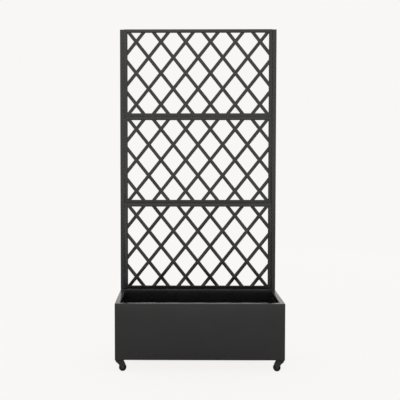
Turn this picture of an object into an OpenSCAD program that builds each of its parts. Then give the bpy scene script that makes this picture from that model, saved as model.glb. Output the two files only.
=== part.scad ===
// Steel planter box on four swivel casters, with a tall lattice screen along its rear.
// Millimetres, +Z up. The origin is on the floor under the middle of the box, and -Y is the front.

/* [Planter box] */
// Width of the box
box_w = 800; // [600:10:1200]
// Depth of the box from front to rear
box_d = 350; // [300:10:500]
// Height of the box walls
box_h = 268; // [220:2:400]
// Thickness of the folded sheet steel
sheet_t = 1.5; // [1.2:0.1:1.8]
// Width of the rim that is folded inwards along the top
rim_w = 24; // [22:1:32]
// Height of the return that is folded down from the inner edge of the rim
return_h = 75; // [20:5:120]
// Outer radius of the folds
fold_r = 2.5; // [2:0.5:3.5]
// Width of the bottom flanges of the front and rear walls, which carry the casters
base_flange_w = 44; // [42:1:60]
// Width of the bottom flanges of the side walls
side_flange_w = 20; // [15:1:30]
// Height of the lip round the base tray
tray_lip_h = 25; // [15:1:40]
// Diameter of the drain holes
drain_d = 12; // [8:1:16]
// Number of drain holes along the tray, in each of two rows
drain_count = 5; // [3:1:7]

/* [Screen] */
// Outer width of the square post tube
post_w = 20; // [20:1:26]
// Wall thickness of the post tube
post_wall = 1.5; // [1.2:0.1:1.8]
// Height of one lattice panel
panel_h = 445.5; // [380:0.5:500]
// Gap between two stacked panels
panel_gap = 0.5; // [0.3:0.1:3]
// Gap between a post and a panel, filled by the collars of the threaded inserts
side_gap = 0.5; // [0.4:0.1:2]
// Height of the lowest panel above the rim of the box
screen_lift = 0.5; // [0.3:0.1:20]
// Width of the panel frame tube, seen from the front
bar_w = 15; // [13:0.5:20]
// Depth of the panel frame tube
bar_d = 10; // [10:0.5:14]
// Wall thickness of the panel frame tube
bar_wall = 1.2; // [1:0.1:1.4]
// Width of a lattice strip
strip_w = 17.5; // [12:0.5:22]
// Width of the band that joins the strips round the edge of the lattice sheet
edge_w = 2.5; // [1.5:0.5:6]
// Thickness of the lattice sheet
lattice_t = 3; // [2:0.5:4]
// Horizontal distance between crossings in one row of the lattice
pitch_x = 127; // [100:0.5:160]
// Vertical distance between crossings in one column of the lattice
pitch_z = 159.5; // [120:0.5:200]

/* [Casters] */
// Height from the floor to the underside of the box
caster_h = 57; // [54:1:70]
// Diameter of the wheel over the tyre
wheel_d = 35; // [30:1:38]
// Width of the tyre
wheel_w = 15; // [12:1:18]
// Distance of the wheel axle behind the swivel axis
trail = 14.5; // [12:0.5:18]
// Width of the square mounting plate
plate_w = 40; // [38:1:42]
// Diameter of the fork's crown
crown_d = 40; // [36:1:40]

/* [Hidden] */
$fn = 48;

// Rubbing gap between pieces that turn, seating gap between pieces that slide together
run_gap = 0.3;
seat_gap = 0.2;
// Radial play of a shaft in its bore
bore_play = 0.05;

// Levels above the floor
box_z = caster_h;
rim_z = box_z + box_h;
tray_z = box_z + sheet_t;
screen_z = rim_z + screen_lift;
levels = ["bottom", "middle", "top"];
screen_top_z = screen_z + len(levels) * panel_h + (len(levels) - 1) * panel_gap;

// Posts stand over the rear corners of the box, and the screen lies in the middle of their depth
post_x = box_w / 2 - post_w / 2;
post_y = box_d / 2 - post_w / 2;
post_r = 2;
cap_t = 1.5;
cap_plug_h = 12;
cap_drop = 2;
post_top_z = screen_top_z - cap_drop - cap_t;
spigot_w = post_w - 2 * post_wall - 2 * seat_gap;
spigot_below = 110;
spigot_above = 50;

// Panels
panel_w = box_w - 2 * post_w - 2 * side_gap;
opening_w = panel_w - 2 * bar_w;
opening_h = panel_h - 2 * bar_w;
screw_inset = 60;

// Countersunk M5 screws and the threaded inserts and nuts that they go into
screw_r = 2.45;
screw_head_r = 4.65;
screw_head_h = screw_head_r - screw_r;
screw_len = 30;
thread_r = screw_r + bore_play;
insert_r = 3.4;
insert_len = 9;
insert_collar_r = 4.6;
lock_screw_len = 8;
lock_screw_z = rim_z + 28;
weld_nut_w = 8;
weld_nut_h = 4;

// Casters: each sits in a corner, with its plate a little inside the walls
plate_t = 2;
plate_margin = 1;
caster_inset = plate_w / 2 + plate_margin;
notch_play = 1;
caster_x = box_w / 2 - caster_inset;
caster_y = box_d / 2 - caster_inset;
corners = [
    ["front_left", -1, -1],
    ["front_right", 1, -1],
    ["rear_left", -1, 1],
    ["rear_right", 1, 1]
];
dish_r = 15;
dish_depth = 3;
crown_t = 2;
crown_h = 3;
crown_top_z = caster_h - plate_t - dish_depth - run_gap;
kingpin_r = 3.5;
kingpin_head_r = 6;
kingpin_head_h = 2;
cheek_t = 1.8;
axle_r = 3;
axle_head_r = 5;
axle_head_h = 2;
wheel_r = wheel_d / 2;
core_r = wheel_r - 4.5;
core_rim_t = 2.5;
hub_r = 6;
web_t = 4;
fork_gap = wheel_w + 3;
boss_r = 7.5;

// Corners of a fork cheek: in front of the wheel, behind it, and at the neck under the crown
cheek_inset = 3;
cheek_drop = 3;
front_hip_up = 16;
front_knee_in = 2;
front_knee_up = 11;
rear_hip_r = wheel_r + 1;
rear_hip_turn = 49;
neck_r = wheel_r + 5.5;
neck_turn = 70;
boss_turn = 20;

// M4 pan head screws and nuts that hold the caster plates
plate_screw_r = 1.95;
plate_screw_pitch = plate_w - 12;
plate_screw_head_r = 3.8;
plate_screw_head_h = 2.2;
plate_nut_w = 7;
plate_nut_h = 3.2;
plate_screw_tip = 1.2;
hole_play = 0.25;

sheet_colour = [0.20, 0.20, 0.20];
tube_colour = [0.24, 0.24, 0.24];
lattice_colour = [0.26, 0.26, 0.26];
caster_colour = [0.17, 0.17, 0.17];
screw_colour = [0.14, 0.14, 0.14];
zinc_colour = [0.62, 0.62, 0.60];
plastic_colour = [0.12, 0.12, 0.12];
rubber_colour = [0.08, 0.08, 0.08];

// Square with its corners rounded, centred
module rounded_square(w, r) {
    square([w, w - 2 * r], center = true);
    square([w - 2 * r, w], center = true);
    for (x = [-1, 1], y = [-1, 1])
        translate([x * (w / 2 - r), y * (w / 2 - r)])
            circle(r);
}

// Rectangle from the origin with rounded corners
module rounded_rect(w, h, r) {
    translate([0, r])
        square([w, h - 2 * r]);
    translate([r, 0])
        square([w - 2 * r, h]);
    for (u = [r, w - r], v = [r, h - r])
        translate([u, v])
            circle(r);
}

// Section of a wall: u runs inwards from the outside face, v up from the underside.
// From the bottom it is flange, wall, rim and the return of the rim.
module wall_section(bottom_w) {
    difference() {
        rounded_rect(rim_w, box_h, fold_r);
        translate([sheet_t, sheet_t])
            rounded_rect(rim_w - 2 * sheet_t, box_h - 2 * sheet_t, fold_r - sheet_t);
        translate([2 * fold_r, -1])
            square([rim_w, box_h - return_h + 1]);
    }
    translate([fold_r, 0])
        square([bottom_w - fold_r, sheet_t]);
}

// Plan of a wall whose ends are mitred from the outer corners, as deep as the widest flange
module mitred_plan(length, depth) {
    polygon([
        [-length / 2, 0],
        [length / 2, 0],
        [length / 2 - depth, depth],
        [-length / 2 + depth, depth]
    ]);
}

// Wall along X with its outside face at y = 0: mitred ends, bottom flange left out near them
module wall(length, bottom_w, flange_len) {
    flange_trim = sheet_t + fold_r;
    difference() {
        intersection() {
            rotate([90, 0, 90])
                linear_extrude(length, center = true)
                    wall_section(bottom_w);
            union() {
                linear_extrude(box_h)
                    mitred_plan(length, bottom_w + rim_w);
                translate([-flange_len / 2, sheet_t, 0])
                    cube([flange_len, bottom_w, sheet_t]);
            }
        }
        for (end = [-1, 1])
            translate([end * length / 2, sheet_t + bottom_w, flange_trim / 2 - 1])
                cube([length - flange_len, 2 * bottom_w, flange_trim + 2], center = true);
    }
}

// Square holes in the rim for the two spigots
module spigot_cuts() {
    notch = post_w - post_wall - sheet_t;
    for (side = [-1, 1])
        translate([
            side * (box_w / 2 - sheet_t - notch / 2),
            box_d / 2 - sheet_t - notch / 2,
            rim_z
        ])
            cube([notch, notch, 4 * fold_r], center = true);
}

// Places its children at the four caster screws of every corner
module at_plate_screws() {
    for (c = corners, dx = [-1, 1], dy = [-1, 1])
        translate([
            c[1] * caster_x + dx * plate_screw_pitch / 2,
            c[2] * caster_y + dy * plate_screw_pitch / 2,
            0
        ])
            children();
}

// Clearance holes for the caster screws through the bottom flanges
module plate_screw_holes() {
    at_plate_screws()
        translate([0, 0, box_z - 1])
            cylinder(h = sheet_t + 2, r = plate_screw_r + hole_play);
}

module front_wall() {
    color(sheet_colour)
        difference() {
            translate([0, -box_d / 2, box_z])
                wall(box_w, base_flange_w, box_w - 2 * sheet_t);
            plate_screw_holes();
        }
}

module rear_wall() {
    color(sheet_colour)
        difference() {
            translate([0, box_d / 2, box_z])
                rotate([0, 0, 180])
                    wall(box_w, base_flange_w, box_w - 2 * sheet_t);
            plate_screw_holes();
            spigot_cuts();
        }
}

// side is -1 for the left wall and 1 for the right wall
module side_wall(side) {
    color(sheet_colour)
        difference() {
            translate([side * box_w / 2, 0, box_z])
                rotate([0, 0, side * 90])
                    wall(box_d, side_flange_w, box_d - 2 * base_flange_w - 2 * seat_gap);
            spigot_cuts();
        }
}

// Rectangle standing on the u axis, with its two lower corners rounded
module bottom_rounded_rect(w, h, r) {
    translate([-w / 2, r])
        square([w, h - r]);
    translate([-w / 2 + r, 0])
        square([w - 2 * r, h]);
    for (end = [-1, 1])
        translate([end * (w / 2 - r), r])
            circle(r);
}

// Block with its four lower edges rounded: the outside or the inside of the folded tray
module tray_block(w, d, h, r) {
    intersection() {
        rotate([90, 0, 0])
            linear_extrude(d, center = true)
                bottom_rounded_rect(w, h, r);
        rotate([90, 0, 90])
            linear_extrude(w, center = true)
                bottom_rounded_rect(d, h, r);
    }
}

// Folded tray that lies on the bottom flanges, notched at its corners round the caster nuts
module base_tray() {
    tray_w = box_w - 2 * sheet_t - 2 * seat_gap;
    tray_d = box_d - 2 * sheet_t - 2 * seat_gap;
    notch_x = caster_x - plate_w / 2 - notch_play;
    notch_y = caster_y - plate_w / 2 - notch_play;
    color(sheet_colour)
        difference() {
            translate([0, 0, tray_z])
                tray_block(tray_w, tray_d, tray_lip_h, fold_r);
            translate([0, 0, tray_z + sheet_t])
                tray_block(tray_w - 2 * sheet_t, tray_d - 2 * sheet_t, tray_lip_h, fold_r - sheet_t);
            for (x = [-1, 1], y = [-1, 1])
                translate([x * (notch_x + tray_w / 2), y * (notch_y + tray_d / 2), tray_z])
                    cube([tray_w, tray_d, 3 * tray_lip_h], center = true);
            at_drain_holes()
                cylinder(h = 4 * sheet_t, r = drain_d / 2, center = true);
        }
}

module at_drain_holes() {
    step = box_w / drain_count;
    for (i = [0 : drain_count - 1], y = [-1, 1])
        translate([(i - (drain_count - 1) / 2) * step, y * box_d / 5, tray_z])
            children();
}

// Square tube welded into a rear corner of the box, which the post slides over
module spigot(side) {
    color(tube_colour)
        difference() {
            translate([side * post_x, post_y, rim_z - spigot_below])
                linear_extrude(spigot_below + spigot_above)
                    difference() {
                        rounded_square(spigot_w, 1.5);
                        rounded_square(spigot_w - 2 * post_wall, 0.5);
                    }
            at_lock_screw(side)
                cylinder(h = 3 * post_wall, r = screw_head_r - post_wall);
        }
}

// Places its children at a post's lock screw, with +Z running in from the rear face of the post
module at_lock_screw(side) {
    translate([side * post_x, box_d / 2, lock_screw_z])
        rotate([90, 0, 0])
            children();
}

// Countersunk screw with its flat head at z = 0 and its tip at z = length
module countersunk_screw(length) {
    difference() {
        union() {
            cylinder(h = length, r = screw_r);
            cylinder(h = screw_head_h, r1 = screw_head_r, r2 = screw_r);
        }
        translate([0, 0, -1])
            cylinder(h = 2.6, r = 1.7, $fn = 6);
    }
}

module countersink() {
    translate([0, 0, -0.01])
        cylinder(h = screw_head_h + 0.01, r1 = screw_head_r + 0.01, r2 = screw_r);
    cylinder(h = 3 * post_wall, r = screw_r + 0.1);
}

module post_lock_screws() {
    color(screw_colour)
        for (side = [-1, 1])
            at_lock_screw(side)
                countersunk_screw(lock_screw_len);
}

module post_lock_nuts() {
    color(zinc_colour)
        for (side = [-1, 1])
            at_lock_screw(side)
                translate([0, 0, 2 * post_wall + seat_gap])
                    difference() {
                        cylinder(h = weld_nut_h, r = weld_nut_w / sqrt(3), $fn = 6);
                        translate([0, 0, -1])
                            cylinder(h = weld_nut_h + 2, r = thread_r);
                    }
}

// Places its children at the panel screws of one side, with +Z running in from the outer face
module at_panel_screws(side) {
    for (i = [0 : len(levels) - 1], end = [0, 1])
        translate([
            side * box_w / 2,
            post_y,
            screen_z + i * (panel_h + panel_gap) + screw_inset + end * (panel_h - 2 * screw_inset)
        ])
            rotate([0, -side * 90, 0])
                children();
}

module post(side) {
    color(tube_colour)
        difference() {
            translate([side * post_x, post_y, rim_z])
                linear_extrude(post_top_z - rim_z)
                    difference() {
                        rounded_square(post_w, post_r);
                        rounded_square(post_w - 2 * post_wall, 0.5);
                    }
            at_panel_screws(side) {
                countersink();
                cylinder(h = post_w + 1, r = screw_r + hole_play);
            }
            at_lock_screw(side)
                countersink();
        }
}

// Moulded cap: a flat head with a square plug that grips the inside of the tube
module post_cap(side) {
    color(plastic_colour)
        translate([side * post_x, post_y, post_top_z]) {
            linear_extrude(cap_t)
                rounded_square(post_w, post_r);
            translate([0, 0, -cap_plug_h])
                linear_extrude(cap_plug_h)
                    difference() {
                        rounded_square(post_w - 2 * post_wall - seat_gap, 1);
                        rounded_square(post_w - 2 * post_wall - 3, 0.5);
                    }
        }
}

// Frame tube along X with its outer edge at z = 0, mitred at both ends towards +Z
module mitred_tube(length) {
    difference() {
        rotate([90, 0, 0])
            linear_extrude(bar_d, center = true)
                mitred_plan(length, bar_w);
        translate([-length / 2, -bar_d / 2 + bar_wall, bar_wall])
            cube([length, bar_d - 2 * bar_wall, bar_w - 2 * bar_wall]);
    }
}

// Moves its children to the middle of a panel; i counts panels from the bottom
module at_panel(i) {
    translate([0, post_y, screen_z + panel_h / 2 + i * (panel_h + panel_gap)])
        children();
}

module lower_rail(i) {
    color(tube_colour)
        at_panel(i)
            translate([0, 0, -panel_h / 2])
                mitred_tube(panel_w);
}

module upper_rail(i) {
    color(tube_colour)
        at_panel(i)
            rotate([0, 180, 0])
                translate([0, 0, -panel_h / 2])
                    mitred_tube(panel_w);
}

module stile(i, side) {
    color(tube_colour)
        difference() {
            at_panel(i)
                rotate([0, -side * 90, 0])
                    translate([0, 0, -panel_w / 2])
                        mitred_tube(panel_h);
            at_panel_screws(side)
                translate([0, 0, post_w])
                    cylinder(h = side_gap + 2 * bar_wall, r = insert_r + bore_play);
        }
}

// Lattice cut from one sheet: two families of slanting strips inside a narrow edge band
module lattice(i) {
    slope = atan2(pitch_z, pitch_x);
    reach = opening_h / 2 + opening_w / 2 * pitch_z / pitch_x;
    last = ceil(reach / pitch_z);
    color(lattice_colour)
        at_panel(i)
            rotate([90, 0, 0])
                linear_extrude(lattice_t, center = true) {
                    intersection() {
                        square([opening_w, opening_h], center = true);
                        for (k = [-last : last - 1], way = [-1, 1])
                            translate([0, (k + 0.5) * pitch_z])
                                rotate(way * slope)
                                    square([2 * (opening_w + opening_h), strip_w], center = true);
                    }
                    difference() {
                        square([opening_w, opening_h], center = true);
                        square([opening_w - 2 * edge_w, opening_h - 2 * edge_w], center = true);
                    }
                }
}

module panel_screws() {
    color(screw_colour)
        for (side = [-1, 1])
            at_panel_screws(side)
                countersunk_screw(screw_len);
}

// Threaded inserts riveted into the stiles, whose collars keep the panel off the post
module panel_inserts() {
    color(zinc_colour)
        for (side = [-1, 1])
            at_panel_screws(side)
                translate([0, 0, post_w])
                    difference() {
                        union() {
                            cylinder(h = side_gap, r = insert_collar_r);
                            cylinder(h = side_gap + insert_len, r = insert_r);
                        }
                        translate([0, 0, -1])
                            cylinder(h = insert_len + side_gap + 2, r = thread_r);
                    }
}

// Turns a caster in its corner so that its wheel trails towards the middle of the box
module at_corner(c) {
    translate([c[1] * caster_x, c[2] * caster_y, 0])
        rotate([0, 0, c[1] > 0 ? 180 : 0])
            children();
}

module at_axle() {
    translate([trail, 0, wheel_r])
        rotate([90, 0, 0])
            children();
}

// Pressed plate with a round dish that bears on the crown of the fork
module caster_plate() {
    color(caster_colour)
        difference() {
            union() {
                translate([0, 0, caster_h - plate_t])
                    linear_extrude(plate_t)
                        rounded_square(plate_w, 3);
                translate([0, 0, caster_h - plate_t - dish_depth])
                    cylinder(h = dish_depth + 1, r = dish_r);
            }
            translate([0, 0, caster_h - dish_depth])
                cylinder(h = dish_depth + 1, r = dish_r - 2);
            translate([0, 0, caster_h - plate_t - dish_depth - 1])
                cylinder(h = dish_depth, r = kingpin_r);
            for (x = [-1, 1], y = [-1, 1])
                translate([x * plate_screw_pitch / 2, y * plate_screw_pitch / 2, caster_h - plate_t - 1])
                    cylinder(h = plate_t + 2, r = plate_screw_r + hole_play);
        }
}

// Rivet that the fork turns on, with its upper head in the dish of the plate
module kingpin() {
    low_head_top = crown_top_z - crown_t - run_gap;
    high_head_z = caster_h - dish_depth;
    color(caster_colour) {
        translate([0, 0, low_head_top])
            cylinder(h = high_head_z - low_head_top, r = kingpin_r);
        translate([0, 0, high_head_z])
            cylinder(h = kingpin_head_h, r = kingpin_head_r);
        translate([0, 0, low_head_top - kingpin_head_h])
            cylinder(h = kingpin_head_h, r1 = kingpin_head_r - 1, r2 = kingpin_head_r);
    }
}

// Side view of a fork cheek, u along the trail and v up from the floor
module cheek_outline() {
    crown_low = crown_top_z - crown_h;
    shoulder = crown_d / 2 - cheek_inset;
    axle = [trail, wheel_r];
    polygon([
        [-shoulder, crown_top_z - crown_t / 2],
        [-shoulder, crown_low - cheek_drop],
        [trail - wheel_r, wheel_r + front_hip_up],
        [trail - wheel_r + front_knee_in, wheel_r + front_knee_up],
        axle + boss_r * [-cos(boss_turn), sin(boss_turn)],
        axle,
        axle + boss_r * [cos(boss_turn), sin(boss_turn)],
        axle + rear_hip_r * [cos(rear_hip_turn), sin(rear_hip_turn)],
        axle + neck_r * [cos(neck_turn), sin(neck_turn)],
        [shoulder + 1, crown_low],
        [shoulder, crown_top_z - crown_t / 2]
    ]);
    translate(axle)
        circle(boss_r);
}

// Pressed fork: a round crown with a turned-down edge, and two cheeks that hold the axle
module fork() {
    color(caster_colour)
        difference() {
            union() {
                difference() {
                    translate([0, 0, crown_top_z - crown_h])
                        cylinder(h = crown_h, r = crown_d / 2);
                    translate([0, 0, crown_top_z - crown_h - 1])
                        cylinder(h = crown_h - crown_t + 1, r = crown_d / 2 - crown_t);
                }
                for (y = [-1, 1])
                    translate([0, y * (fork_gap + cheek_t) / 2, 0])
                        rotate([90, 0, 0])
                            linear_extrude(cheek_t, center = true)
                                cheek_outline();
            }
            translate([0, 0, crown_top_z - crown_t - 1])
                cylinder(h = crown_t + 2, r = kingpin_r + bore_play);
            at_axle()
                cylinder(h = fork_gap + 4 * cheek_t, r = axle_r, center = true);
        }
}

// Axle riveted over at both ends
module axle() {
    span = fork_gap + 2 * cheek_t;
    color(caster_colour)
        at_axle() {
            cylinder(h = span, r = axle_r, center = true);
            for (end = [0, 1])
                mirror([0, 0, end])
                    translate([0, 0, span / 2])
                        cylinder(h = axle_head_h, r1 = axle_head_r, r2 = axle_head_r - 1.2);
        }
}

// Moulded wheel body: rim, web and hub turned from one outline
module wheel_body() {
    color(plastic_colour)
        at_axle()
            rotate_extrude()
                difference() {
                    union() {
                        translate([core_r - core_rim_t, -wheel_w / 2 + 1])
                            square([core_rim_t, wheel_w - 2]);
                        translate([0, -fork_gap / 2 + run_gap])
                            square([hub_r, fork_gap - 2 * run_gap]);
                        translate([0, -web_t / 2])
                            square([core_r - 1, web_t]);
                    }
                    translate([-1, -fork_gap])
                        square([1 + axle_r + bore_play, 2 * fork_gap]);
                }
}

// Tyre with rounded shoulders, moulded round the wheel body
module tyre() {
    shoulder_r = 3;
    color(rubber_colour)
        at_axle()
            rotate_extrude()
                intersection() {
                    translate([core_r, -wheel_w / 2])
                        square([wheel_r - core_r, wheel_w]);
                    union() {
                        square([2 * (wheel_r - shoulder_r), wheel_w], center = true);
                        square([2 * wheel_r, wheel_w - 2 * shoulder_r], center = true);
                        for (v = [-1, 1])
                            translate([wheel_r - shoulder_r, v * (wheel_w / 2 - shoulder_r)])
                                circle(shoulder_r);
                    }
                }
}

module plate_screws() {
    length = plate_t + sheet_t + plate_nut_h + plate_screw_tip;
    color(screw_colour)
        at_plate_screws()
            translate([0, 0, box_z - plate_t]) {
                cylinder(h = length, r = plate_screw_r);
                translate([0, 0, -plate_screw_head_h])
                    cylinder(h = plate_screw_head_h, r1 = plate_screw_head_r - 1.2, r2 = plate_screw_head_r);
            }
}

module plate_nuts() {
    color(zinc_colour)
        at_plate_screws()
            translate([0, 0, box_z + sheet_t])
                difference() {
                    cylinder(h = plate_nut_h, r = plate_nut_w / sqrt(3), $fn = 6);
                    translate([0, 0, -1])
                        cylinder(h = plate_nut_h + 2, r = plate_screw_r + bore_play);
                }
}

front_wall();
rear_wall();
side_wall(-1);  // left_wall
side_wall(1);  // right_wall
base_tray();
spigot(-1);  // left_spigot
spigot(1);  // right_spigot
post(-1);  // left_post
post(1);  // right_post
post_cap(-1);  // left_post_cap
post_cap(1);  // right_post_cap
post_lock_screws();
post_lock_nuts();
for (i = [0 : len(levels) - 1]) {
    lattice(i);
    lower_rail(i);
    upper_rail(i);
    stile(i, -1);
    stile(i, 1);
}
panel_screws();
panel_inserts();
for (c = corners) {
    at_corner(c) caster_plate();
    at_corner(c) kingpin();
    at_corner(c) fork();
    at_corner(c) axle();
    at_corner(c) wheel_body();
    at_corner(c) tyre();
}
plate_screws();
plate_nuts();
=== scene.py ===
# Planter box on casters with a lattice screen: the looks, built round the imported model.
# Everything is in metres, in the frame of the CAD: floor at z = 0, +Z up, -Y the front.
import math

import bmesh
import bpy
from mathutils import Matrix, Vector


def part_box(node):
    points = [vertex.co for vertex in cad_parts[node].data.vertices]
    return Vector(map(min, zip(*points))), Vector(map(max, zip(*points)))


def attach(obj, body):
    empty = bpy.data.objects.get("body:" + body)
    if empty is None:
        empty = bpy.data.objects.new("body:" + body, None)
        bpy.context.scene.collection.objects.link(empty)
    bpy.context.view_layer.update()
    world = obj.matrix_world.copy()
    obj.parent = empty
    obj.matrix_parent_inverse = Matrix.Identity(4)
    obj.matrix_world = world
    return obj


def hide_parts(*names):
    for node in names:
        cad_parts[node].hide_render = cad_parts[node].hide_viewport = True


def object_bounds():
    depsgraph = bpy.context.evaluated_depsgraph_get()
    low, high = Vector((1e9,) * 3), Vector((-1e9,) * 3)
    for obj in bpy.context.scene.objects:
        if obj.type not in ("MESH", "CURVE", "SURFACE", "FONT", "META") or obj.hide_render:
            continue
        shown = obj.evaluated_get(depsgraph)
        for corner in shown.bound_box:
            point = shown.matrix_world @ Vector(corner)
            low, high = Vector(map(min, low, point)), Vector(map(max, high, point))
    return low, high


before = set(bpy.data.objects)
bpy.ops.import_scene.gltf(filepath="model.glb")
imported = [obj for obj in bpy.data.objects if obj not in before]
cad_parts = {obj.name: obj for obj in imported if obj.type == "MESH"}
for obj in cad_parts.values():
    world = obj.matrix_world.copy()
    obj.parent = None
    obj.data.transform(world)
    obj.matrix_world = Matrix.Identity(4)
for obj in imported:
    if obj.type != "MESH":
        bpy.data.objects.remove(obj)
cad_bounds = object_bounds()


# Camera
# It stands a little left of the planter's middle, 1.03 m up, and looks down by about 2 degrees.
# The picture is 400 pixels square and cropped off centre: the lens looks straight at the column
# and row given here, and it is the one that fits the box and the screen.
picture = 400
focal_pixels = 660.2
centre_column = 172.76
centre_row = 179.49
camera_data = bpy.data.cameras.new("camera")
camera_data.sensor_width = 36.0
camera_data.lens = focal_pixels / picture * camera_data.sensor_width
camera_data.shift_x = 0.5 - centre_column / picture
camera_data.shift_y = centre_row / picture - 0.5
camera_data.clip_end = 60.0
camera_place = (-0.0999, -3.2423, 1.0263)
tilt_degrees = 87.779
turn_degrees = 0.508
camera = bpy.data.objects.new("camera", camera_data)
camera.location = camera_place
camera.rotation_euler = (math.radians(tilt_degrees), 0.0, math.radians(turn_degrees))
bpy.context.scene.collection.objects.link(camera)
bpy.context.scene.camera = camera


# Powder coat of the box, the posts and the panels
# Near-black polyester powder, baked on: semi-gloss, with the shallow ripple called orange peel
# and a fine, slightly paler grain in it. It is a little smoother on edges, and its edges are
# tinted paler, partly as rubbed coat and partly as a painted highlight. It carries a trace
# of dust where it faces up.
def put(tree, kind, sockets=None, **settings):
    """Adds a shader node, sets its sockets by name and its settings by attribute."""
    node = tree.nodes.new(kind)
    for name, value in settings.items():
        setattr(node, name, value)
    for name, value in (sockets or {}).items():
        node.inputs[name].default_value = value
    return node


def effect(name, inputs, outputs):
    """A node group with number inputs and the outputs given as name and socket type."""
    tree = bpy.data.node_groups.new(name, "ShaderNodeTree")
    for socket, value in inputs.items():
        made = tree.interface.new_socket(socket, in_out="INPUT", socket_type="NodeSocketFloat")
        made.default_value = value
    for socket, kind in outputs.items():
        tree.interface.new_socket(socket, in_out="OUTPUT", socket_type=kind)
    return tree, put(tree, "NodeGroupInput"), put(tree, "NodeGroupOutput")


def noise(tree, place, scale, detail=3.0, roughness=0.55, distortion=0.0):
    """A noise texture on the given coordinates; scale is in cells per metre."""
    node = put(
        tree,
        "ShaderNodeTexNoise",
        {"Detail": detail, "Roughness": roughness, "Distortion": distortion},
    )
    if isinstance(scale, (int, float)):
        node.inputs["Scale"].default_value = scale
    else:
        tree.links.new(scale, node.inputs["Scale"])
    tree.links.new(place, node.inputs["Vector"])
    return node.outputs["Fac"]


def remap(tree, value, low, high, to_low=0.0, to_high=1.0):
    """Maps low..high to to_low..to_high and clamps."""
    node = put(
        tree,
        "ShaderNodeMapRange",
        {"From Min": low, "From Max": high, "To Min": to_low, "To Max": to_high},
    )
    tree.links.new(value, node.inputs["Value"])
    return node.outputs["Result"]


def combine(tree, operation, a, b):
    """Math on two values, each a socket or a number."""
    node = put(tree, "ShaderNodeMath", operation=operation)
    for socket, value in zip(node.inputs, (a, b)):
        if isinstance(value, (int, float)):
            socket.default_value = value
        else:
            tree.links.new(value, socket)
    return node.outputs[0]


def tint(tree, amount, colour_a, colour_b):
    """A colour between two, each a socket or a colour of three numbers."""
    node = put(tree, "ShaderNodeMix", data_type="RGBA")
    tree.links.new(amount, node.inputs["Factor"])
    for socket, colour in ((node.inputs["A"], colour_a), (node.inputs["B"], colour_b)):
        if isinstance(colour, tuple):
            socket.default_value = (*colour, 1.0)
        else:
            tree.links.new(colour, socket)
    return node.outputs["Result"]


def own_place(tree):
    return put(tree, "ShaderNodeTexCoord").outputs["Object"]


ripple_cells = 520.0
fine_cells = 1700.0
fine_share = 0.45
patch_cells = 7.0
orange_peel, inside, outside = effect(
    "orange_peel",
    {"Cells": ripple_cells},
    {"Height": "NodeSocketFloat", "Grain": "NodeSocketFloat", "Patches": "NodeSocketFloat"},
)
place = own_place(orange_peel)
ripple = noise(orange_peel, place, inside.outputs["Cells"], detail=2.0, roughness=0.4)
fine = noise(orange_peel, place, fine_cells, detail=2.0)
fine_height = combine(orange_peel, "MULTIPLY", fine, fine_share)
height = combine(orange_peel, "ADD", ripple, fine_height)
orange_peel.links.new(height, outside.inputs["Height"])
grain = remap(orange_peel, fine, low=0.50, high=0.68)
orange_peel.links.new(grain, outside.inputs["Grain"])
patches = noise(orange_peel, place, patch_cells, detail=4.0)
orange_peel.links.new(patches, outside.inputs["Patches"])

edge_radius = 0.0012
chip_cells = 160.0
edges, inside, outside = effect("edges", {"Break up": 0.5}, {"Mask": "NodeSocketFloat"})
rounded = put(edges, "ShaderNodeBevel", {"Radius": edge_radius}, samples=4)
flat = put(edges, "ShaderNodeNewGeometry")
likeness = put(edges, "ShaderNodeVectorMath", operation="DOT_PRODUCT")
edges.links.new(rounded.outputs["Normal"], likeness.inputs[0])
edges.links.new(flat.outputs["Normal"], likeness.inputs[1])
edge = remap(edges, likeness.outputs["Value"], low=0.995, high=0.80)
chips = noise(edges, own_place(edges), chip_cells, detail=5.0)
chips = remap(edges, chips, low=0.40, high=0.62)
broken = put(edges, "ShaderNodeMix", {"A": 1.0}, data_type="FLOAT")
edges.links.new(inside.outputs["Break up"], broken.inputs["Factor"])
edges.links.new(chips, broken.inputs["B"])
edges.links.new(combine(edges, "MULTIPLY", edge, broken.outputs["Result"]), outside.inputs["Mask"])

drift_cells = 24.0
speck_cells = 1900.0
least_dust = 0.35
dust, inside, outside = effect("dust", {"Amount": 0.5}, {"Mask": "NodeSocketFloat"})
facing = put(dust, "ShaderNodeSeparateXYZ")
dust.links.new(put(dust, "ShaderNodeNewGeometry").outputs["Normal"], facing.inputs[0])
up = remap(dust, facing.outputs["Z"], low=0.35, high=0.95)
place = own_place(dust)
drift = noise(dust, place, drift_cells, detail=6.0, roughness=0.65)
drift = remap(dust, drift, low=0.35, high=0.75)
specks = noise(dust, place, speck_cells, detail=1.0)
specks = remap(dust, specks, low=0.42, high=0.70)
settled = combine(dust, "MULTIPLY", drift, combine(dust, "ADD", specks, least_dust))
settled = combine(dust, "MULTIPLY", combine(dust, "MULTIPLY", up, settled), inside.outputs["Amount"])
dust.links.new(settled, outside.inputs["Mask"])


def place_effect(tree, group, **amounts):
    """Places an effect group in a material with its own values; _ stands for a space."""
    node = put(tree, "ShaderNodeGroup", node_tree=group)
    for name, value in amounts.items():
        node.inputs[name.replace("_", " ")].default_value = value
    return node.outputs


def finish_shader(name, **sockets):
    """A material, its node tree and its shader, with the shader's own constant values set."""
    material = bpy.data.materials.new(name)
    material.use_nodes = True
    tree = material.node_tree
    shader = tree.nodes["Principled BSDF"]
    for socket, value in sockets.items():
        shader.inputs[socket.replace("_", " ")].default_value = value
    return material, tree, shader


def bump(tree, shader, height, strength, distance):
    node = put(tree, "ShaderNodeBump", {"Strength": strength, "Distance": distance})
    tree.links.new(height, node.inputs["Height"])
    tree.links.new(node.outputs["Normal"], shader.inputs["Normal"])


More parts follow.
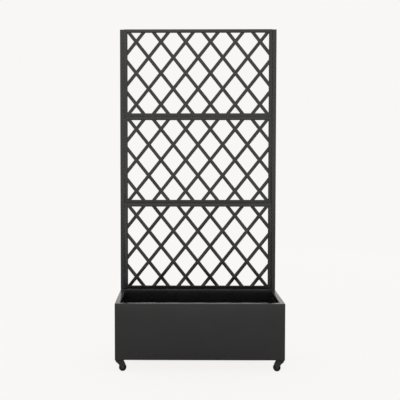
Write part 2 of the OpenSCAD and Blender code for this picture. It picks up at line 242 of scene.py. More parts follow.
coat_black = (0.0088, 0.0088, 0.0092)
patch_paler = 1.25
grain_black = (0.036, 0.036, 0.036)
grain_share = 0.6
# Paler colour along the edges: partly rubbed coat, partly a painted highlight.
rubbed_and_highlight_black = (0.060, 0.060, 0.058)
rubbed_and_highlight_share = 0.35
dust_colour = (0.210, 0.200, 0.185)
smoothest = 0.185
roughest = 0.235
dust_rougher = 0.3
grain_rougher = 0.08
rubbed_smoother = 0.05


def powder_finish(name, dusty):
    """Black powder coat; dusty is how much dust its upper sides carry."""
    material, tree, shader = finish_shader(name, IOR=1.58)
    peel = place_effect(tree, orange_peel)
    rub_and_highlight = place_effect(tree, edges)["Mask"]
    film = place_effect(tree, dust, Amount=dusty)["Mask"]
    paler_black = tuple(c * patch_paler for c in coat_black)
    patches = remap(tree, peel["Patches"], low=0.35, high=0.65)
    colour = tint(tree, patches, coat_black, paler_black)
    grain = combine(tree, "MULTIPLY", peel["Grain"], grain_share)
    colour = tint(tree, grain, colour, grain_black)
    # Tints the edges paler: partly rubbed coat, partly a painted highlight.
    colour = tint(tree, combine(tree, "MULTIPLY", rub_and_highlight, rubbed_and_highlight_share), colour, rubbed_and_highlight_black)
    colour = tint(tree, film, colour, dust_colour)
    tree.links.new(colour, shader.inputs["Base Color"])
    rough = remap(tree, peel["Patches"], low=0.3, high=0.7, to_low=smoothest, to_high=roughest)
    rough = combine(tree, "ADD", rough, combine(tree, "MULTIPLY", film, dust_rougher))
    rough = combine(tree, "ADD", rough, combine(tree, "MULTIPLY", grain, grain_rougher))
    rough = combine(tree, "SUBTRACT", rough, combine(tree, "MULTIPLY", rub_and_highlight, rubbed_smoother))
    tree.links.new(rough, shader.inputs["Roughness"])
    bump(tree, shader, peel["Height"], strength=0.30, distance=0.00012)
    return material


powder_coat = powder_finish("powder_coat", dusty=0.12)
tray_coat = powder_finish("powder_coat_inside", dusty=0.42)


# Planter box
# Four folded steel walls, mitred, welded and ground to one shell, open at the top and below.
# A 24 mm rim is folded in along the top, with a deep return folded down from its inner edge,
# and flanges along the bottom carry tray and casters.
steel = 0.0015
fold_radius = 0.0025
fold_steps = 5
box_edge_ease = 0.0003
aligned = 0.99
box_low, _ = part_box("front_wall")
_, box_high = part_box("rear_wall")
box_width = box_high.x - box_low.x
box_depth = box_high.y - box_low.y
rim_width = 0.024
return_depth = 0.075
front_flange = 0.044
side_flange = 0.020


def deselect_all():
    if bpy.context.object and bpy.context.object.mode != "OBJECT":
        bpy.ops.object.mode_set(mode="OBJECT")
    bpy.ops.object.select_all(action="DESELECT")


def only(piece):
    """Makes one object the selected and active one."""
    deselect_all()
    piece.select_set(True)
    bpy.context.view_layer.objects.active = piece


def named(name):
    """Gives the new primitive its name and applies its place, so that its object is unturned."""
    piece = bpy.context.object
    piece.name = name
    piece.data.name = name
    bpy.ops.object.transform_apply(location=True, rotation=True, scale=True)
    return piece


def block(name, low, high):
    """A cube primitive stretched between two corners."""
    deselect_all()
    low, high = Vector(low), Vector(high)
    bpy.ops.mesh.primitive_cube_add(size=1.0, location=(low + high) / 2)
    bpy.context.object.scale = high - low
    return named(name)


def pick(kind, test):
    """In edit mode, selects the faces, edges or verts whose middle and normal pass the test."""
    bpy.ops.mesh.select_mode(type={"faces": "FACE", "edges": "EDGE", "verts": "VERT"}[kind])
    bpy.ops.mesh.select_all(action="DESELECT")
    mesh = bmesh.from_edit_mesh(bpy.context.object.data)
    for part in getattr(mesh, kind):
        if kind == "verts":
            part.select = test(part.co, part.normal)
        elif kind == "edges":
            ends = [v.co for v in part.verts]
            part.select = test((ends[0] + ends[1]) / 2, (ends[1] - ends[0]).normalized())
        else:
            part.select = test(part.calc_center_median(), part.normal)
    mesh.select_flush_mode()
    bmesh.update_edit_mesh(bpy.context.object.data)


def modify(piece, kind, **settings):
    """Adds a modifier with its settings and applies it."""
    only(piece)
    made = piece.modifiers.new(kind.lower(), kind)
    for name, value in settings.items():
        setattr(made, name, value)
    bpy.ops.object.modifier_apply(modifier=made.name)


def soften(piece, width, segments=2, angle=35.0):
    """Rounds the sharp edges by a small radius."""
    modify(
        piece,
        "BEVEL",
        width=width,
        segments=segments,
        limit_method="ANGLE",
        angle_limit=math.radians(angle),
        harden_normals=False,
    )


too_close = 0.000004


def merge_close(piece):
    """Merges points that a bevel or a cut has left closer together than this."""
    only(piece)
    bpy.ops.object.mode_set(mode="EDIT")
    bpy.ops.mesh.select_all(action="SELECT")
    bpy.ops.mesh.remove_doubles(threshold=too_close)
    bpy.ops.object.mode_set(mode="OBJECT")


def done(piece, material, body, replaces=(), smooth=32.0):
    """Smooths, paints and hands over a finished piece."""
    only(piece)
    bpy.ops.object.shade_smooth_by_angle(angle=math.radians(smooth))
    piece.data.materials.clear()
    piece.data.materials.append(material)
    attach(piece, body)
    if replaces:
        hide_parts(*replaces)
    return piece


box_shell = block("box_shell", box_low, box_high)
bpy.ops.object.mode_set(mode="EDIT")
pick("edges", lambda middle, along: True)
bpy.ops.mesh.bevel(offset=fold_radius, segments=fold_steps, profile=0.5, affect="EDGES")
for side in (1, -1):
    pick("faces", lambda middle, normal: normal.z * side > aligned)
    inset = (rim_width if side > 0 else side_flange) - fold_radius
    bpy.ops.mesh.inset(thickness=inset, use_even_offset=True)
    if side > 0:
        bpy.ops.mesh.extrude_region_move(
            TRANSFORM_OT_translate={"value": (0.0, 0.0, -return_depth)}
        )
    if side < 0:
        open_depth = box_depth - 2 * side_flange
        bpy.ops.transform.resize(
            value=(1.0, (box_depth - 2 * front_flange) / open_depth, 1.0),
            center_override=((box_low + box_high) / 2)[:],
        )
    bpy.ops.mesh.delete(type="FACE")
mouth_x = box_width / 2 - rim_width + steel / 2
mouth_y = box_depth / 2 - rim_width + steel / 2
pick(
    "edges",
    lambda middle, along: middle.z > box_high.z - steel / 2
    and abs(middle.x) < mouth_x
    and abs(middle.y) < mouth_y,
)
bpy.ops.mesh.bevel(offset=fold_radius, segments=fold_steps, profile=0.5, affect="EDGES")
bpy.ops.object.mode_set(mode="OBJECT")
modify(box_shell, "SOLIDIFY", thickness=steel, offset=-1.0, use_even_offset=True)
soften(box_shell, box_edge_ease, segments=2, angle=60.0)
done(
    box_shell,
    powder_coat,
    "planter",
    ("front_wall", "rear_wall", "left_wall", "right_wall"),
)


# Weld beads of the box
# The mitred walls are joined by a bead down each inner corner, and each spigot by short stitches.
# A bead is a string of ripples, each about 3.2 mm long, under the same powder coat.
half_ripple = 0.0016
bead_sides = 8
bead_waist = 0.78


def weld_bead(name, start, end, radius):
    """One bead along a line, modelled upright, narrowed at every second ring, then turned."""
    start, end = Vector(start), Vector(end)
    length = (end - start).length
    rings = max(4, 2 * round(length / half_ripple / 2))
    deselect_all()
    bpy.ops.mesh.primitive_cylinder_add(vertices=bead_sides, radius=radius, depth=length)
    bpy.ops.object.mode_set(mode="EDIT")
    pick("edges", lambda middle, along: abs(along.z) > aligned)
    bpy.ops.mesh.subdivide(number_cuts=rings - 1)
    step = length / rings
    pick("verts", lambda at, normal: round((at.z + length / 2) / step) % 2 == 0)
    bpy.ops.transform.resize(value=(bead_waist, bead_waist, 1.0), center_override=(0.0, 0.0, 0.0))
    bpy.ops.object.mode_set(mode="OBJECT")
    bpy.context.object.location = (start + end) / 2
    bpy.context.object.rotation_euler = (end - start).to_track_quat("Z", "Y").to_euler()
    return named(name)


def copied(piece, name, change):
    """A copy with its own mesh, carried to its place by a matrix."""
    twin = bpy.data.objects.new(name, piece.data.copy())
    twin.data.name = name
    bpy.context.scene.collection.objects.link(twin)
    twin.data.transform(change)
    if change.determinant() < 0:
        twin.data.flip_normals()
    return twin


def joined(name, pieces):
    """Joins separate copies to one piece."""
    deselect_all()
    for piece in pieces:
        piece.select_set(True)
    bpy.context.view_layer.objects.active = pieces[0]
    if len(pieces) > 1:
        bpy.ops.object.join()
    pieces[0].name = name
    pieces[0].data.name = name
    return pieces[0]


def shift(x, y, z):
    return Matrix.Translation((x, y, z))


bead_radius = 0.0022
from_the_wall = 0.0008
bead_inset = steel + from_the_wall
above_tray = 0.003
below_spigot = 0.001
_, tray_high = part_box("base_tray")
spigot_low, spigot_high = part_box("left_spigot")
rim_underside = box_high.z - steel
corner_beads = []
for x_side in (-1, 1):
    for y_side in (-1, 1):
        x = x_side * (box_width / 2 - bead_inset)
        y = y_side * (box_depth / 2 - bead_inset)
        top = rim_underside if y_side < 0 else spigot_low.z - below_spigot
        bead = weld_bead("bead", (x, y, tray_high.z + above_tray), (x, y, top), bead_radius)
        corner_beads.append(bead)
done(joined("corner_welds", corner_beads), powder_coat, "planter")

stitch_length = 0.028
stitch_radius = 0.0018
stitch_spacing = 0.060
above_spigot_end = 0.008
stitch_start = Vector(
    (spigot_high.x, box_high.y - steel - stitch_radius / 3, spigot_low.z + above_spigot_end)
)
first_stitch = weld_bead(
    "stitch", stitch_start, stitch_start + Vector((0, 0, stitch_length)), stitch_radius
)
side_stitch = Vector((box_low.x + steel + stitch_radius / 3, spigot_low.y, stitch_start.z))
stitches = []
for x_side in (1, -1):
    mirror = Matrix.Diagonal((x_side, 1.0, 1.0, 1.0))
    for up_by in (0.0, stitch_spacing):
        stitches.append(copied(first_stitch, "stitch", mirror @ shift(0, 0, up_by)))
        to_side = shift(*(side_stitch - stitch_start)) @ shift(0, 0, up_by)
        stitches.append(copied(first_stitch, "stitch", mirror @ to_side))
bpy.data.objects.remove(first_stitch)
done(joined("spigot_welds", stitches), powder_coat, "planter")


# Base tray, spigots and posts
# Folded tray on the flanges, square tubes welded into the rear corners, and the posts on them.
# Their shapes come straight from the CAD, and only their finish is given here.
def paint(material, *nodes):
    """Gives CAD nodes their finish."""
    for node in nodes:
        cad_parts[node].data.materials.clear()
        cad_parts[node].data.materials.append(material)


paint(tray_coat, "base_tray", "left_spigot", "right_spigot")
paint(powder_coat, "left_post", "right_post")


# Panel frames
# Each panel has a frame of 15 x 10 mm tube, mitred, welded and ground flush at its corners.
# The tube's own corners are round, and a low dressed weld crosses each mitre on both faces.
# The coat adds a tenth of a millimetre to its outline, which narrows the gaps between frames.
levels = ("bottom", "middle", "top")
tube_width = 0.015
tube_corner = 0.0008
coat_thickness = 0.0001
mitre_weld_width = 0.0036
mitre_weld_rise = 0.00012
mitre_weld_depth = 0.001
mitre_weld_half = tube_width * 0.54
mitre_weld_round = 0.0011
frame_welds = []
for level in levels:
    low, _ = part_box(level + "_lower_rail")
    _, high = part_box(level + "_upper_rail")
    low -= Vector((coat_thickness, 0, coat_thickness))
    high += Vector((coat_thickness, 0, coat_thickness))
    high.z = min(high.z, cad_bounds[1][2])
    panel_frame = block(level + "_frame", low, high)
    bpy.ops.object.mode_set(mode="EDIT")
    pick("faces", lambda middle, normal: abs(normal.y) > aligned)
    bpy.ops.mesh.inset(thickness=tube_width + coat_thickness)
    bpy.ops.mesh.bridge_edge_loops()
    bpy.ops.object.mode_set(mode="OBJECT")
    soften(panel_frame, tube_corner, segments=3)
    done(
        panel_frame,
        powder_coat,
        "planter",
        [level + part for part in ("_lower_rail", "_upper_rail", "_left_stile", "_right_stile")],
    )
    if not frame_welds:
        first_weld = block(
            "mitre_weld",
            (-mitre_weld_half, low.y - mitre_weld_rise, -mitre_weld_width / 2),
            (mitre_weld_half, low.y + mitre_weld_depth, mitre_weld_width / 2),
        )
        soften(first_weld, mitre_weld_round, segments=4)
        merge_close(first_weld)
    for x_side in (-1, 1):
        for z_side in (-1, 1):
            for y_side in (1, -1):
                corner = Vector(
                    (
                        low.x + tube_width / 2 if x_side < 0 else high.x - tube_width / 2,
                        0.0,
                        low.z + tube_width / 2 if z_side < 0 else high.z - tube_width / 2,
                    )
                )
                turn = Matrix.Rotation(-x_side * z_side * math.pi / 4, 4, "Y")
                back = Matrix.Identity(4)
                if y_side < 0:
                    back = shift(0, low.y + high.y, 0) @ Matrix.Diagonal((1, -1, 1, 1))
                frame_welds.append(copied(first_weld, "weld", back @ shift(*corner) @ turn))
bpy.data.objects.remove(first_weld)
done(joined("mitre_welds", frame_welds), powder_coat, "planter")


# Lattices
# Diamond lattice cut by laser from 3 mm sheet, with a 2.5 mm band left round its edge.
# The cut edges are eased by a third of a millimetre, so they catch the light under the coat.
cut_edge_ease = 0.00035
same_point = 0.000002
same_plane_degrees = 0.5


def copy_of_node(node, name):
    """A merged copy of a CAD node's loose triangles, ready to be finished as a new piece."""
    piece = bpy.data.objects.new(name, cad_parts[node].data.copy())
    piece.data.name = name
    bpy.context.scene.collection.objects.link(piece)
    only(piece)
    bpy.ops.mesh.customdata_custom_splitnormals_clear()
    bpy.ops.object.mode_set(mode="EDIT")
    bpy.ops.mesh.select_all(action="SELECT")
    bpy.ops.mesh.remove_doubles(threshold=same_point)
    bpy.ops.mesh.dissolve_limited(angle_limit=math.radians(same_plane_degrees))
    bpy.ops.object.mode_set(mode="OBJECT")
    return piece


for level in levels:
    lattice = copy_of_node(level + "_lattice", level + "_diamonds")
    soften(lattice, cut_edge_ease, segments=2)
    done(lattice, powder_coat, "planter", [level + "_lattice"])


# Stitch welds of the lattices
# Short steel beads hold each sheet in its frame from behind, in the corner of sheet and tube:
# six along each rail, about 120 mm apart, and three along each stile, under the same coat.
half_stitch = 0.009
lattice_stitch_radius = 0.0013
stitches_across = 6
stitches_up = 3
across = weld_bead(
    "stitch", (-half_stitch, 0.0, 0.0), (half_stitch, 0.0, 0.0), lattice_stitch_radius
)
upright = weld_bead(
    "stitch", (0.0, 0.0, -half_stitch), (0.0, 0.0, half_stitch), lattice_stitch_radius
)
stitches = []
for level in levels:
    low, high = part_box(level + "_lattice")
    for i in range(stitches_across):
        x = low.x + (i + 0.5) * (high.x - low.x) / stitches_across
        for z in (low.z, high.z):
            stitches.append(copied(across, "stitch", shift(x, high.y, z)))
    for i in range(stitches_up):
        z = low.z + (i + 0.5) * (high.z - low.z) / stitches_up
        for x in (low.x, high.x):
            stitches.append(copied(upright, "stitch", shift(x, high.y, z)))
bpy.data.objects.remove(across)
bpy.data.objects.remove(upright)
done(joined("lattice_welds", stitches), powder_coat, "planter")


# Post caps
# Moulded black caps pressed into the tops of the posts: a shallow crown on a square plug.
# The plastic has a fine spark-eroded grain and a lower gloss than the coat.
spark_cells = 2400.0
moulded_grain, inside, outside = effect(
    "moulded_grain", {"Cells": spark_cells}, {"Height": "NodeSocketFloat"}
)
grain_cells = put(moulded_grain, "ShaderNodeTexVoronoi", feature="SMOOTH_F1")
moulded_grain.links.new(own_place(moulded_grain), grain_cells.inputs["Vector"])
moulded_grain.links.new(inside.outputs["Cells"], grain_cells.inputs["Scale"])
moulded_grain.links.new(grain_cells.outputs["Distance"], outside.inputs["Height"])

plastic_dark = (0.012, 0.012, 0.012)
plastic_pale = (0.019, 0.019, 0.019)
plastic_cells = 60.0
black_plastic, tree, shader = finish_shader("black_plastic", IOR=1.46)
cloud = noise(tree, own_place(tree), plastic_cells, detail=4.0)
tree.links.new(tint(tree, cloud, plastic_dark, plastic_pale), shader.inputs["Base Color"])
rough = remap(tree, cloud, low=0.3, high=0.7, to_low=0.44, to_high=0.56)
tree.links.new(rough, shader.inputs["Roughness"])
grain = place_effect(tree, moulded_grain)["Height"]
bump(tree, shader, grain, strength=0.25, distance=0.00005)

cap_low, cap_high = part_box("left_post_cap")
_, post_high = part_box("left_post")
crown_rise = 0.0005
crown_rings = ((0.975, 0.35), (0.95, 0.30), (0.84, 0.25), (0.5, 0.10))
cap_corner = 0.002
corner_steps = 5
plug_step = 0.0017
flat_top = cap_high.z - crown_rise
post_cap = block(
    "left_cap", (cap_low.x, cap_low.y, post_high.z), (cap_high.x, cap_high.y, flat_top)
)
bpy.ops.object.mode_set(mode="EDIT")
pick("edges", lambda middle, along: abs(along.z) > aligned)
bpy.ops.mesh.bevel(offset=cap_corner, segments=corner_steps, affect="EDGES")
pick("faces", lambda middle, normal: normal.z > aligned)
cap_middle = ((cap_low.x + cap_high.x) / 2, (cap_low.y + cap_high.y) / 2, cap_high.z)
for shrink, share in crown_rings:
    bpy.ops.mesh.extrude_region_move(
        TRANSFORM_OT_translate={"value": (0.0, 0.0, crown_rise * share)}
    )
    bpy.ops.transform.resize(value=(shrink, shrink, 1.0), center_override=cap_middle)
pick("faces", lambda middle, normal: normal.z < -aligned)
bpy.ops.mesh.inset(thickness=plug_step)
bpy.ops.mesh.extrude_region_move(
    TRANSFORM_OT_translate={"value": (0.0, 0.0, cap_low.z - post_high.z)}
)
bpy.ops.object.mode_set(mode="OBJECT")
right_cap = copied(post_cap, "right_cap", Matrix.Diagonal((-1.0, 1.0, 1.0, 1.0)))
done(post_cap, black_plastic, "planter", ["left_post_cap"])
done(right_cap, black_plastic, "planter", ["right_post_cap"])


# Screws, inserts and nuts of the screen
# Countersunk socket screws, blackened, lie flush in the posts, with zinc-plated inserts behind.
# Blackened steel keeps a metal's sheen, and zinc shows a faint crystalline mottle.
def metal_finish(name, colour_a, colour_b, rough_a, rough_b, cells):
    """Plated or blackened steel with a mottle of the given number of cells per metre."""
    material, tree, shader = finish_shader(name, Metallic=1.0)
    mottle = put(tree, "ShaderNodeTexVoronoi", {"Scale": cells}, feature="F1")
    tree.links.new(own_place(tree), mottle.inputs["Vector"])
    shade = put(tree, "ShaderNodeSeparateColor")
    tree.links.new(mottle.outputs["Color"], shade.inputs["Color"])
    cloud = noise(tree, own_place(tree), cells * 0.4, detail=5.0)
    blend = combine(tree, "MULTIPLY", shade.outputs["Red"], cloud)
    blend = remap(tree, blend, low=0.0, high=0.6)
    tree.links.new(tint(tree, blend, colour_a, colour_b), shader.inputs["Base Color"])
    rough = remap(tree, cloud, low=0.3, high=0.7, to_low=rough_a, to_high=rough_b)
    tree.links.new(rough, shader.inputs["Roughness"])
    pores = noise(tree, own_place(tree), cells * 6.0, detail=2.0)
    bump(tree, shader, pores, strength=0.2, distance=0.00003)
    return material


black_screws = metal_finish(
    "black_screws",
    colour_a=(0.030, 0.030, 0.032),
    colour_b=(0.055, 0.055, 0.056),
    rough_a=0.34,
    rough_b=0.46,
    cells=900.0,
)
zinc_steel = metal_finish(
    "zinc_steel",
    colour_a=(0.46, 0.46, 0.47),
    colour_b=(0.60, 0.60, 0.60),
    rough_a=0.26,
    rough_b=0.40,
    cells=1400.0,
)
paint(black_screws, "panel_screws", "post_lock_screws")
paint(zinc_steel, "panel_inserts", "post_lock_nuts")


# Caster plates and forks
# Pressed from 2 mm steel and painted black: a square plate with a round dish, and a fork whose
# crown turns under it on a riveted kingpin. Pressing leaves every edge a little round.
paint_dark = (0.016, 0.016, 0.017)
paint_pale = (0.024, 0.024, 0.025)
worn_grey = (0.11, 0.11, 0.11)
worn_share = 0.45
paint_cells = 90.0
pore_cells = 1100.0
caster_steel, tree, shader = finish_shader("caster_steel", IOR=1.5)
cloud = noise(tree, own_place(tree), paint_cells, detail=5.0)
worn = place_effect(tree, edges, Break_up=0.8)["Mask"]
colour = tint(tree, cloud, paint_dark, paint_pale)
colour = tint(tree, combine(tree, "MULTIPLY", worn, worn_share), colour, worn_grey)
tree.links.new(colour, shader.inputs["Base Color"])
rough = remap(tree, cloud, low=0.3, high=0.7, to_low=0.30, to_high=0.42)
tree.links.new(rough, shader.inputs["Roughness"])
pores = noise(tree, own_place(tree), pore_cells, detail=2.0)
bump(tree, shader, pores, strength=0.16, distance=0.00005)

pressed_edge = 0.0004
corners = ("front_left", "front_right", "rear_left", "rear_right")
plate_low, plate_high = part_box("plate_front_left")
swivel = (plate_low + plate_high) / 2
tyre_low, tyre_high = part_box("tyre_front_left")
axle = (tyre_low + tyre_high) / 2


def to_corner(corner):
    """Carries what is modelled at the front left caster to another corner."""
    low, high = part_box("plate_" + corner)
    there = (low + high) / 2
    half_turn = Matrix.Rotation(math.pi if there.x > 0 else 0.0, 4, "Z")
    return shift(there.x, there.y, 0) @ half_turn @ shift(-swivel.x, -swivel.y, 0)


def at_corners(model, name, material, body, node):
    """Copies a finished model to the four corners and hands each copy over."""
    for corner in corners:
        piece = copied(model, name + "_" + corner, to_corner(corner))
        ride_on = body if body == "planter" else body + corner
        done(piece, material, ride_on, [node + corner])
    bpy.data.objects.remove(model)


plate_model = copy_of_node("plate_front_left", "plate")
soften(plate_model, pressed_edge, segments=2)
at_corners(plate_model, "top_plate", caster_steel, "planter", "plate_")
fork_model = copy_of_node("fork_front_left", "fork")
soften(fork_model, pressed_edge, segments=2)
at_corners(fork_model, "pressed_fork", caster_steel, "caster_", "fork_")
paint(caster_steel, *["kingpin_" + corner for corner in corners])


# Caster axles
# Steel rivets through both cheeks of a fork, headed over into a low dome at each end. The shank
# between the domes is 6 mm thick, and the wheel turns on it.
seed_size = 0.001
same_ring_point = 0.000005


def turned(name, outline, along, centre, steps=48):
    """Draws an outline of radius and height, vertex by vertex, and spins it about an axis."""
    axis = Vector(along)
    out = Vector((1.0, 0.0, 0.0))
    points = [Vector(centre) + out * r + axis * h for r, h in outline]
    deselect_all()
    bpy.ops.mesh.primitive_plane_add(size=seed_size, location=(0.0, 0.0, 0.0))
    bpy.ops.object.mode_set(mode="EDIT")
    bpy.ops.mesh.select_mode(type="VERT")
    bpy.ops.mesh.select_all(action="SELECT")
    bpy.ops.mesh.merge(type="CENTER")
    bpy.ops.transform.translate(value=points[0])
    for before, after in zip(points, points[1:]):
        bpy.ops.mesh.extrude_vertices_move(TRANSFORM_OT_translate={"value": after - before})
    bpy.ops.mesh.select_all(action="SELECT")
    bpy.ops.mesh.spin(steps=steps, angle=2 * math.pi, center=centre, axis=along)
    bpy.ops.mesh.select_all(action="SELECT")
    bpy.ops.mesh.remove_doubles(threshold=same_ring_point)
    bpy.ops.mesh.normals_make_consistent(inside=False)
    bpy.ops.object.mode_set(mode="OBJECT")
    return named(name)


def millimetres(points):
    return [(r / 1000, h / 1000) for r, h in points]


def both_ways(half):
    """An outline given for its lower half, with the upper half mirrored after it."""
    return millimetres(half + [(r, -h) for r, h in reversed(half)])


rivet_half = [(0, -12.8), (1.8, -12.7), (3.2, -12.3), (4.3, -11.7), (4.9, -11.1), (5, -10.8)]
rivet_half += [(3.0, -10.8)]
axle_model = turned("rivet", both_ways(rivet_half), (0.0, 1.0, 0.0), axle)
at_corners(axle_model, "axle_rivet", caster_steel, "caster_", "axle_")


# Caster wheels
# Nylon wheel bodies, moulded with a rim, a thin web, a long hub and five ribs on each side.
# The tyre is soft rubber moulded over the rim, with round shoulders and a fine parting line.
hub_half = [(3.05, -8.7), (5.5, -8.7), (6.0, -8.2), (6.0, -2.5), (6.5, -2.0), (10.0, -2.0)]
hub_half += [(10.5, -2.5), (10.5, -6.1), (10.9, -6.5), (12.6, -6.5), (13.0, -6.1)]
hub_outline = both_ways(hub_half)
wheel_model = turned("wheel", hub_outline + hub_outline[:1], (0.0, 1.0, 0.0), axle)
rib_low = axle + Vector((0.0056, 0.0015, -0.0007))
rib_high = axle + Vector((0.0108, 0.0054, 0.0007))
rib_edge = 0.0003
rib = block("rib", rib_low, rib_high)
soften(rib, rib_edge, segments=2)
ribs = []
rib_count = 5
for i in range(rib_count):
    for y_side in (1, -1):
        spoke = Matrix.Rotation(2 * math.pi * i / rib_count, 4, "Y")
        flip = Matrix.Diagonal((1, y_side, 1, 1))
        ribs.append(
            copied(rib, "rib", shift(*axle) @ spoke @ flip @ shift(-axle.x, -axle.y, -axle.z))
        )
bpy.data.objects.remove(rib)
wheel_model = joined("wheel", [wheel_model] + ribs)
at_corners(wheel_model, "wheel_body", black_plastic, "roller_", "wheel_")

rubber_dark = (0.012, 0.012, 0.012)
rubber_pale = (0.020, 0.020, 0.019)
grit_colour = (0.090, 0.085, 0.078)
grit_share = 0.30
rubber_cells = 140.0
grit_cells = 1500.0
skin_cells = 1800.0
black_rubber, tree, shader = finish_shader("black_rubber", IOR=1.46)
cloud = noise(tree, own_place(tree), rubber_cells, detail=5.0)
grit = noise(tree, own_place(tree), grit_cells, detail=3.0)
grit = remap(tree, grit, low=0.58, high=0.72)
colour = tint(tree, cloud, rubber_dark, rubber_pale)
colour = tint(tree, combine(tree, "MULTIPLY", grit, grit_share), colour, grit_colour)
tree.links.new(colour, shader.inputs["Base Color"])
rough = remap(tree, cloud, low=0.3, high=0.7, to_low=0.60, to_high=0.78)
tree.links.new(rough, shader.inputs["Roughness"])
skin = noise(tree, own_place(tree), skin_cells, detail=3.0)
bump(tree, shader, skin, strength=0.3, distance=0.00008)

shoulder = 3.0
shoulder_steps = 6
line_rise = 0.08
tyre_r = 17.5
tread_r = tyre_r - line_rise
tyre_side = -7.5
tyre_half = [(13.0, -6.4), (13.2, -7.1), (13.8, tyre_side)]
for i in range(shoulder_steps + 1):
    turn = math.radians(90 * i / shoulder_steps)
    tyre_half.append(
        (
            tread_r - shoulder + shoulder * math.sin(turn),
            tyre_side + shoulder - shoulder * math.cos(turn),
        )
    )
tyre_half += [(tread_r, -0.35), (tyre_r, -0.12)]
tyre_outline = both_ways(tyre_half)
tyre_model = turned("tyre", tyre_outline + tyre_outline[:1], (0.0, 1.0, 0.0), axle, steps=64)
at_corners(tyre_model, "rubber_tyre", black_rubber, "roller_", "tyre_")


# Caster screws and nuts
# Pan head M4 screws with a cross recess come up through plate and flange, four to a caster.
# Zinc-plated hexagon nuts, chamfered on both faces, lie on the flange in the tray's notches.
screw_pitch = 0.028
plate_sheet = 0.002
_, screws_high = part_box("plate_screws")
nuts_low, nuts_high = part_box("plate_nuts")
first_screw = Vector((swivel.x - screw_pitch / 2, swivel.y - screw_pitch / 2, plate_low.z))
screw_base = plate_high.z - plate_sheet
screw_tip = screws_high.z - screw_base
shank_r = 1.95
root_r = 1.72
tip_r = 1.5
flank = 0.18
head = [(0, -2.2), (1.6, -2.15), (2.7, -1.85), (3.4, -1.25), (3.75, -0.5), (3.8, 0), (shank_r, 0)]
shank = [(shank_r, (nuts_high.z - screw_base) * 1000)]
thread_turns = 3
for i in range(thread_turns):
    rise = shank[0][1] + (screw_tip * 1000 - shank[0][1]) * (i + 0.5) / thread_turns
    shank += [(root_r, rise), (shank_r, rise + flank)]
shank[-1] = (tip_r, screw_tip * 1000)
screw_centre = (first_screw.x, first_screw.y, screw_base)
screw_model = turned(
    "screw",
    millimetres(head + shank + [(0, screw_tip * 1000)]),
    (0.0, 0.0, 1.0),
    screw_centre,
    steps=32,
)


def cut(piece, tool, operation="DIFFERENCE"):
    """Cuts a piece with another, which is then thrown away."""
    modify(piece, "BOOLEAN", object=tool, operation=operation, solver="EXACT")
    bpy.data.objects.remove(tool)


head_rise = 0.0022
recess_depth = 0.0012
recess_long = 0.0019
recess_narrow = 0.0004
overreach = 0.001


def arm(x_half, y_half):
    """One arm of the cross recess, which starts outside the head, so that it cuts it cleanly."""
    face = Vector(screw_centre) - Vector((0, 0, head_rise))
    outside_head = face - Vector((x_half, y_half, overreach))
    return block("arm", outside_head, face + Vector((x_half, y_half, recess_depth)))


cut(screw_model, arm(recess_long, recess_narrow))
cut(screw_model, arm(recess_narrow, recess_long))
merge_close(screw_model)

nut_flats = 0.007
nut_height = nuts_high.z - nuts_low.z
nut_middle = Vector((first_screw.x, first_screw.y, (nuts_low.z + nuts_high.z) / 2))
deselect_all()
bpy.ops.mesh.primitive_cylinder_add(
    vertices=6, radius=nut_flats / math.sqrt(3), depth=nut_height, location=nut_middle
)
nut_model = named("nut")
half = nut_height * 500
chamfer = 0.42
bore_r = 2.0
face_r = 3.5
corner_r = 4.2
barrel_outline = [(bore_r, -half), (face_r, -half), (corner_r, -half + chamfer)]
barrel_outline += [(corner_r, half - chamfer), (face_r, half), (bore_r, half), (bore_r, -half)]
barrel = turned("barrel", millimetres(barrel_outline), (0.0, 0.0, 1.0), nut_middle)
cut(nut_model, barrel, "INTERSECT")
merge_close(nut_model)

screws, nuts = [], []
for corner in corners:
    for dx in (0.0, screw_pitch):
        for dy in (0.0, screw_pitch):
            there = to_corner(corner) @ shift(dx, dy, 0)
            screws.append(copied(screw_model, "screw", there))
            nuts.append(copied(nut_model, "nut", there))
bpy.data.objects.remove(screw_model)
bpy.data.objects.remove(nut_model)
done(joined("caster_screws", screws), black_screws, "planter", ["plate_screws"])
done(joined("caster_nuts", nuts), zinc_steel, "planter", ["plate_nuts"])


# Floor, backdrop and light
# Plain off-white studio, one tone to the camera and, but for a greyer floor, in reflections too.
# The floor keeps a soft shadow, faint in front and at the sides, deeper behind and under the box.
# The sky lights the planter evenly, and weak softboxes above, in front and at the rear right help.
studio_white = (0.939, 0.930, 0.913)
floor_grey = (0.55, 0.55, 0.545)
faint_share = 0.08
deep_share = 0.90
open_floor_light = 0.82
floor_width = 13.0
side_fade = 0.13
front_fade_from = -0.02
back_fade_from = 0.6
back_fade_to = 1.1
sky_white = (1.0, 0.995, 0.985)
sky_light = 0.85

deselect_all()
bpy.ops.mesh.primitive_plane_add(size=floor_width, location=(0.0, 0.0, 0.0))
floor = named("floor")
floor_paint = bpy.data.materials.new("floor_paint")
floor_paint.use_nodes = True
tree = floor_paint.node_tree
tree.nodes.clear()
seen = put(tree, "ShaderNodeLightPath")
spot = put(tree, "ShaderNodeSeparateXYZ")
tree.links.new(own_place(tree), spot.inputs[0])
sideways = combine(tree, "ABSOLUTE", spot.outputs["X"], 0.0)
inward = remap(tree, sideways, box_width / 2, box_width / 2 - side_fade)
backward = remap(tree, spot.outputs["Y"], front_fade_from, box_high.y)
forward = remap(tree, spot.outputs["Y"], back_fade_to, back_fade_from)
deeper = combine(tree, "MULTIPLY", inward, backward)
deeper = combine(tree, "MULTIPLY", deeper, forward)
share = remap(tree, deeper, 0.0, 1.0, faint_share, deep_share)
glow = put(tree, "ShaderNodeEmission", {"Color": (*studio_white, 1.0)})
dimmed = combine(tree, "MULTIPLY", share, open_floor_light)
tree.links.new(combine(tree, "SUBTRACT", 1.0, dimmed), glow.inputs["Strength"])
matt = put(tree, "ShaderNodeBsdfDiffuse")
tree.links.new(tint(tree, share, (0.0, 0.0, 0.0), studio_white), matt.inputs["Color"])
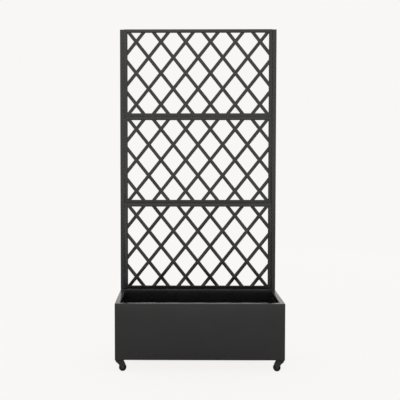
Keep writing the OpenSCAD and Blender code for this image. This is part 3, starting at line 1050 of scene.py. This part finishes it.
bare = put(tree, "ShaderNodeBsdfDiffuse", {"Color": (*floor_grey, 1.0)})
both = put(tree, "ShaderNodeAddShader")
choice = put(tree, "ShaderNodeMixShader")
surface = put(tree, "ShaderNodeOutputMaterial")
tree.links.new(glow.outputs[0], both.inputs[0])
tree.links.new(matt.outputs[0], both.inputs[1])
tree.links.new(seen.outputs["Is Camera Ray"], choice.inputs["Fac"])
tree.links.new(bare.outputs[0], choice.inputs[1])
tree.links.new(both.outputs[0], choice.inputs[2])
tree.links.new(choice.outputs[0], surface.inputs["Surface"])
floor.data.materials.append(floor_paint)

world = bpy.data.worlds.new("studio")
world.use_nodes = True
tree = world.node_tree
tree.nodes.clear()
seen = put(tree, "ShaderNodeLightPath")
shown = put(tree, "ShaderNodeBackground", {"Color": (*studio_white, 1.0), "Strength": 1.0})
light = put(tree, "ShaderNodeBackground", {"Color": (*sky_white, 1.0), "Strength": sky_light})
choice = put(tree, "ShaderNodeMixShader")
surface = put(tree, "ShaderNodeOutputWorld")
direct = combine(tree, "MAXIMUM", seen.outputs["Is Camera Ray"], seen.outputs["Is Glossy Ray"])
direct = combine(tree, "MAXIMUM", direct, seen.outputs["Is Transmission Ray"])
tree.links.new(direct, choice.inputs["Fac"])
tree.links.new(light.outputs[0], choice.inputs[1])
tree.links.new(shown.outputs[0], choice.inputs[2])
tree.links.new(choice.outputs[0], surface.inputs["Surface"])
bpy.context.scene.world = world


def softbox(name, place, aim, width, height, watts):
    """A large rectangular lamp that points at a place on the planter."""
    data = bpy.data.lights.new(name, "AREA")
    data.shape = "RECTANGLE"
    data.size = width
    data.size_y = height
    data.energy = watts
    lamp = bpy.data.objects.new(name, data)
    lamp.location = place
    toward = Vector(aim) - Vector(place)
    lamp.rotation_euler = toward.to_track_quat("-Z", "Y").to_euler()
    bpy.context.scene.collection.objects.link(lamp)
    lamp.visible_camera = False


softbox(
    "overhead_softbox", (0.0, -0.6, 4.2), aim=(0.0, 0.0, 0.5), width=3.0, height=2.4, watts=3.0
)
softbox(
    "front_softbox", (-0.6, -3.6, 3.4), aim=(0.0, 0.0, 1.2), width=2.6, height=1.6, watts=4.0
)
softbox(
    "rear_softbox", (2.1, 3.4, 1.3), aim=(0.3, 0.0, 0.4), width=2.4, height=1.8, watts=3.5
)

bpy.context.scene.view_settings.view_transform = "Standard"
